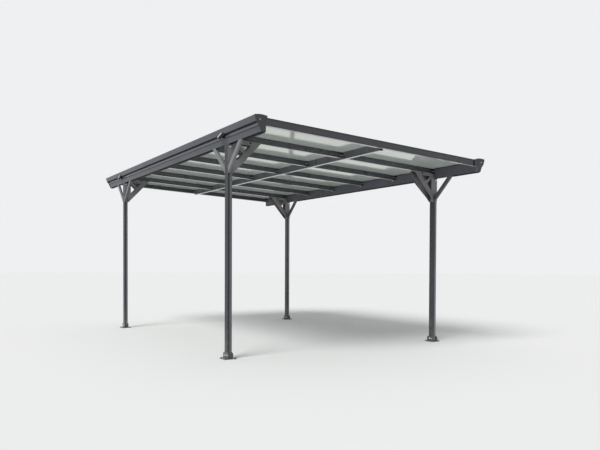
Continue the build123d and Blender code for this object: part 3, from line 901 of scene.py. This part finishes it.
# %% [markdown]
# Shade strips
#
# A side beam is extruded with an open channel along its underside, and a black strip in it stands in for
# the shade there. Everywhere but over the braces it also hangs a little below the beam, as a black line of
# painted shade under its face. A scaled cube would look the same, but most strips here are a rectangle
# carried in a straight line, so this one is too, and one small function finds the end from which its
# faces turn outward.

# %% Shade strips under the side beams
CHANNEL_IN = 0.00825
CHANNEL_W = 0.0315
CHANNEL_FILL = 0.009
SHADE_STRIP_HANG = 0.009
RECESS = 0.0006


def rectangle(u0, u1, v0, v1):
    """Corners of a rectangle, anticlockwise."""
    return [(u0, v0), (u1, v0), (u1, v1), (u0, v1)]


def straight(face, start, stop, across, up):
    """An anticlockwise outline carried between two points, from whichever end turns its faces outward."""
    if np.dot(np.cross(across, up), np.subtract(stop, start)) < 0:
        start, stop = stop, start
    return carried(face, start, stop, across, up)


def front_to_back(face, start, stop):
    """A face in X and Z carried from one Y to another."""
    return straight(face, (0, start, 0), (0, stop, 0), ALONG_X, ALONG_Z)


def outward(side, near, width):
    """Two X values in rising order: a distance out from the inner face of a side beam, and a width more."""
    return sorted((side * (beam_inner + near), side * (beam_inner + near + width)))


# Painted shade: black strips in the channel and hanging under each side beam.
shade_strips = []
for side, hand in ((-1, "left"), (1, "right")):
    low, high = beam_box(side)
    edges = outward(side, CHANNEL_IN, CHANNEL_W)
    front_low, front_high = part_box(f"front_{hand}_braces")
    rear_low, rear_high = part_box(f"rear_{hand}_braces")
    stops = (low.y + RECESS, front_low.y, front_high.y, rear_low.y, rear_high.y, high.y - RECESS)
    face = rectangle(*edges, low.z + RECESS, low.z + CHANNEL_FILL)
    shade_strips.append(front_to_back(face, stops[0], stops[-1]))
    face = rectangle(*edges, low.z - SHADE_STRIP_HANG, low.z)
    for start, stop in zip(stops[::2], stops[1::2]):
        shade_strips.append(front_to_back(face, start, stop))
piece("beam_shade_strips", joined(shade_strips), black_plastic)

# %% [markdown]
# Edge strips and keeper strips
#
# A rubber strip covers the edge of the front and the rear sheet, between its rafter and its glazing bar. It
# bulges a little, so its outline is half an ellipse. The keeper plate over each post carries a bright strip
# along its upper slanting edge: two points on that edge say where it runs, and a cross product gives the
# way down the plate.

# %% Edge strips and keeper strips
STRIP_T = 0.002
EDGE_STRIP_H = 0.0135
KEEPER_EDGE = ((0.083, 0.079), (-0.017, 0.112))
KEEPER_STRIP_W = 0.012

edge_strips = []
for end, rafter in ((-1, "rafter_1"), (1, f"rafter_{RAFTERS}")):
    low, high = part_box(rafter)
    edge = low.y if end < 0 else high.y
    angle = np.linspace(-math.pi / 2, math.pi / 2, ARC_POINTS) * end
    rise = EDGE_STRIP_H / 2 * (1 + np.sin(angle))
    outline = np.stack([edge + end * STRIP_T * np.cos(angle), rise], axis=1)
    edge_strips.append(slope_strip(outline, bar_low.x, bar_high.x))
piece("sheet_edge_strips", joined(edge_strips), gasket_rubber)

keeper_strips = []
keeper_low, keeper_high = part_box("beam_clips")
for corner in CORNERS:
    side = side_of[corner]
    beam_z = beam_box(side)[0].z
    x = keeper_low.x if side < 0 else keeper_high.x
    (start_y, start_h), (stop_y, stop_h) = KEEPER_EDGE
    start = np.array([x, post_at[corner][1] - side * start_y, beam_z + start_h])
    stop = np.array([x, post_at[corner][1] - side * stop_y, beam_z + stop_h])
    out = np.array([side, 0, 0])
    down = np.cross(stop - start, out)
    down = down / np.linalg.norm(down) * -np.sign(down[2])
    keeper_strips.append(straight(rectangle(0, KEEPER_STRIP_W, 0, STRIP_T), start, stop, down, out))
piece("keeper_strips", joined(keeper_strips), bolt_zinc)

# %% [markdown]
# Highlight strips and light strips
#
# A lighter strip lies on the front and rear face of each post, over one edge of its groove: a painted
# highlight for the lit part of that face, lighter on the right posts. A thin paler strip runs along the
# upright band of each side beam: painted light over the band, which the rail above shades. Both could be
# painted on as stripes, but a real edge catches the light. They are a millimetre or so thick, and lie flat
# on what carries them.

# %% Post highlight strips and beam light strips
POST_HIGHLIGHT_W = 0.026
POST_HIGHLIGHT_T = 0.0015
POST_HIGHLIGHT_INSET = 0.003
LIGHT_STRIP_OUT = 0.072
LIGHT_STRIP_T = 0.001
LIGHT_STRIP_FOOT = 0.0595
LIGHT_STRIP_TOP = 0.0825

# Painted highlight: lighter strips on the front and rear faces of the posts.
post_highlight_strips = {-1: [], 1: []}
for corner in CORNERS:
    low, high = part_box(f"{corner}_post")
    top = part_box(f"{corner}_gusset")[0].z - RECESS
    for end, y in ((-1, low.y), (1, high.y)):
        inner = high.x - POST_HIGHLIGHT_INSET if end < 0 else low.x + POST_HIGHLIGHT_INSET
        edges = sorted((inner, inner + end * POST_HIGHLIGHT_W))
        face = rectangle(*edges, min(y, y + end * POST_HIGHLIGHT_T), max(y, y + end * POST_HIGHLIGHT_T))
        strip = straight(face, (0, 0, PLATE_T + RECESS), (0, 0, top), ALONG_X, ALONG_Y)
        post_highlight_strips[side_of[corner]].append(strip)
piece("left_post_highlight_strips", joined(post_highlight_strips[-1]), left_post_highlight_coat)
piece("right_post_highlight_strips", joined(post_highlight_strips[1]), right_post_highlight_coat)

# Painted light: pale strips over the shaded band of each side beam.
painted_light_strips = []
for side in (-1, 1):
    low, high = beam_box(side)
    face = rectangle(*outward(side, LIGHT_STRIP_OUT, LIGHT_STRIP_T), low.z + LIGHT_STRIP_FOOT, low.z + LIGHT_STRIP_TOP)
    painted_light_strips.append(front_to_back(face, low.y, high.y))
piece("beam_painted_light_strips", joined(painted_light_strips), painted_light_coat)

# %% [markdown]
# Shade plates and plugs
#
# Where the front and the rear rafter come down to the low beam, a black plate stands in for the shade in
# the gap beside the rafter's end. The centre beam ends in a plug with one screw. Both could be cut to the
# exact inner outline of what they close, but only their outer faces show, so each is a rectangle again,
# carried outwards by its own thickness.

# %% Rafter end shade plates and plugs
SHADE_PLATE_IN = (0.043, 0.068)
SHADE_PLATE_T = 0.0015
PLUG_W = 0.040
PLUG_H = 0.016
PLUG_T = 0.003

# Painted shade: black plates at the low ends of the end rafters.
rafter_end_shade_plates = []
for end, y in ((-1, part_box("rafter_1")[0].y), (1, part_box(f"rafter_{RAFTERS}")[1].y)):
    near, far = (beam_inner - inward for inward in SHADE_PLATE_IN)
    face = rectangle(far, near, rafter_foot(far) + RECESS, roof_z(near) - RECESS)
    rafter_end_shade_plates.append(front_to_back(face, y, y + end * SHADE_PLATE_T))
piece("rafter_end_shade_plates", joined(rafter_end_shade_plates), black_plastic)

plugs, plug_screws, plug_ways = [], [], []
for end, y in ((-1, centre_low.y), (1, centre_high.y)):
    face = rectangle(-PLUG_W / 2, PLUG_W / 2, centre_low.z + RECESS, centre_low.z + PLUG_H)
    plugs.append(front_to_back(face, y, y + end * PLUG_T))
    plug_screws.append((PLUG_W / 4, y + end * PLUG_T, centre_low.z + PLUG_H / 2))
    plug_ways.append((0, end, 0))
piece("centre_beam_plugs", joined(plugs), black_plastic)
plug_screw = pan_head(radius=0.005, height=0.0025)
piece("plug_screws", repeated(plug_screw, plug_screws, plug_ways), bolt_zinc)

# %% [markdown]
# Floor and surround
#
# The stage is plain: a pale floor that runs out to the horizon, and a white surround. Both have two tones:
# one that lights the object, and one that the camera, a mirror or a clear sheet sees. So the picture's
# background can be pale without throwing more light on the object. A bright lamp on a white floor would
# wash out the undersides.

# %% Floor and surround
FLOOR_RINGS = (0.0, 6.0, 20.0, 60.0)
FLOOR_STEPS = 96
FLOOR_LIT = (0.72, 0.72, 0.71, 1)
FLOOR_SEEN = (0.73, 0.73, 0.72, 1)
SKY_LIT = (0.94, 0.97, 1.0, 1)
SKY_STRENGTH = 0.38
SKY_SEEN = (0.86, 0.87, 0.88, 1)

angle = np.linspace(0, 2 * math.pi, FLOOR_STEPS, endpoint=False)
flat = np.zeros((len(FLOOR_RINGS), FLOOR_STEPS))
disc = np.stack([np.outer(FLOOR_RINGS, np.cos(angle)), np.outer(FLOOR_RINGS, np.sin(angle)), flat], axis=-1)
floor_faces = grid_faces(len(FLOOR_RINGS), FLOOR_STEPS).tolist()
floor_mesh = bpy.data.meshes.new("floor")
floor_mesh.from_pydata(disc.reshape(-1, 3).tolist(), [], floor_faces)
floor = bpy.data.objects.new("floor", floor_mesh)
bpy.context.scene.collection.objects.link(floor)


def seen_share(nodes, links):
    """1 for a ray from the camera, a reflection or a view through glass, 0 for one that carries light."""
    path = nodes.new("ShaderNodeLightPath")
    share = path.outputs["Is Camera Ray"]
    for kind in ("Is Glossy Ray", "Is Transmission Ray"):
        either = nodes.new("ShaderNodeMath")
        either.operation = "MAXIMUM"
        links.new(share, either.inputs[0])
        links.new(path.outputs[kind], either.inputs[1])
        share = either.outputs[0]
    return share


floor_tree = Tree("floor_paint")
floor_lit = floor_tree.add("BsdfDiffuse", {"Color": FLOOR_LIT}).outputs[0]
floor_seen = floor_tree.add("BsdfDiffuse", {"Color": FLOOR_SEEN}).outputs[0]
share = seen_share(floor_tree.nodes, floor_tree.links)
floor_tree.links.new(floor_tree.shader_mix(share, floor_lit, floor_seen), floor_tree.out.inputs["Surface"])
floor_tree.nodes.remove(floor_tree.surface)
floor_mesh.materials.append(floor_tree.made)

world = bpy.data.worlds.new("surround")
world.use_nodes = True
bpy.context.scene.world = world
sky = world.node_tree
sky_light = sky.nodes["Background"]
sky_light.inputs["Color"].default_value = SKY_LIT
sky_light.inputs["Strength"].default_value = SKY_STRENGTH
sky_seen = sky.nodes.new("ShaderNodeBackground")
sky_seen.inputs["Color"].default_value = SKY_SEEN
sky_mix = sky.nodes.new("ShaderNodeMixShader")
sky.links.new(seen_share(sky.nodes, sky.links), sky_mix.inputs[0])
sky.links.new(sky_light.outputs[0], sky_mix.inputs[1])
sky.links.new(sky_seen.outputs[0], sky_mix.inputs[2])
sky.links.new(sky_mix.outputs[0], sky.nodes["World Output"].inputs["Surface"])
print("floor", FLOOR_RINGS[-1], "m out, surround", world.name)

# %% [markdown]
# Lamps
#
# The light comes from the left and a little from the front, so the left faces are brighter than the front
# ones, as in the reference view, and the undersides live on what the floor throws back. Wide suns give soft
# shadows of the same strength everywhere, where area lamps would fade along five metres of roof.

# %% Lamps


def soft_sun(name, towards, energy, spread):
    """A wide sun, seen from the object in the direction towards."""
    data = bpy.data.lights.new(name, "SUN")
    data.energy = energy
    data.angle = math.radians(spread)
    lamp = bpy.data.objects.new(name, data)
    bpy.context.scene.collection.objects.link(lamp)
    lamp.matrix_world = Matrix(facing(towards).tolist()).to_4x4()
    print(name, energy, "watts on a square metre")


soft_sun("key_from_the_left", towards=(-0.62, -0.30, 0.72), energy=2.8, spread=30)
soft_sun("fill_from_above", towards=(0.1, 0.25, 1.0), energy=0.5, spread=60)

# %% [markdown]
# Camera
#
# The camera stands where the reference was taken from: about a metre above the ground, in front and to the
# left. The lens follows from the focal length in picture widths, and the horizon lies a little below the
# middle of the picture, which the vertical shift takes up so that the posts stay upright. Tilting the
# camera instead would make them lean together.

# %% Camera
CAMERA_AT = (-4.161, -7.510, 0.970)
YAW = math.radians(32.19)
TILT = -0.0171
ROLL = 0.004
PICTURE_W = 600
FOCAL = 617.08
HORIZON_DROP = 49.67
SENSOR = 36

right = np.array([math.cos(YAW), -math.sin(YAW), 0])
level = np.array([math.sin(YAW), math.cos(YAW), 0])
upright = np.array([0, 0, 1.0])
forward = level * math.cos(TILT) + upright * math.sin(TILT)
crown = upright * math.cos(TILT) - level * math.sin(TILT)
image_x = right * math.cos(ROLL) + crown * math.sin(ROLL)
image_y = crown * math.cos(ROLL) - right * math.sin(ROLL)
camera_data = bpy.data.cameras.new("camera")
camera_data.sensor_width = SENSOR
camera_data.sensor_fit = "HORIZONTAL"
camera_data.lens = FOCAL / PICTURE_W * SENSOR
camera_data.shift_y = HORIZON_DROP / PICTURE_W
camera = bpy.data.objects.new("camera", camera_data)
bpy.context.scene.collection.objects.link(camera)
turn = Matrix(np.stack([image_x, image_y, -forward], axis=1).tolist()).to_4x4()
camera.matrix_world = Matrix.Translation(CAMERA_AT) @ turn
bpy.context.scene.camera = camera
bpy.context.scene.view_settings.view_transform = "Standard"
print("lens", round(camera_data.lens, 1), "mm")
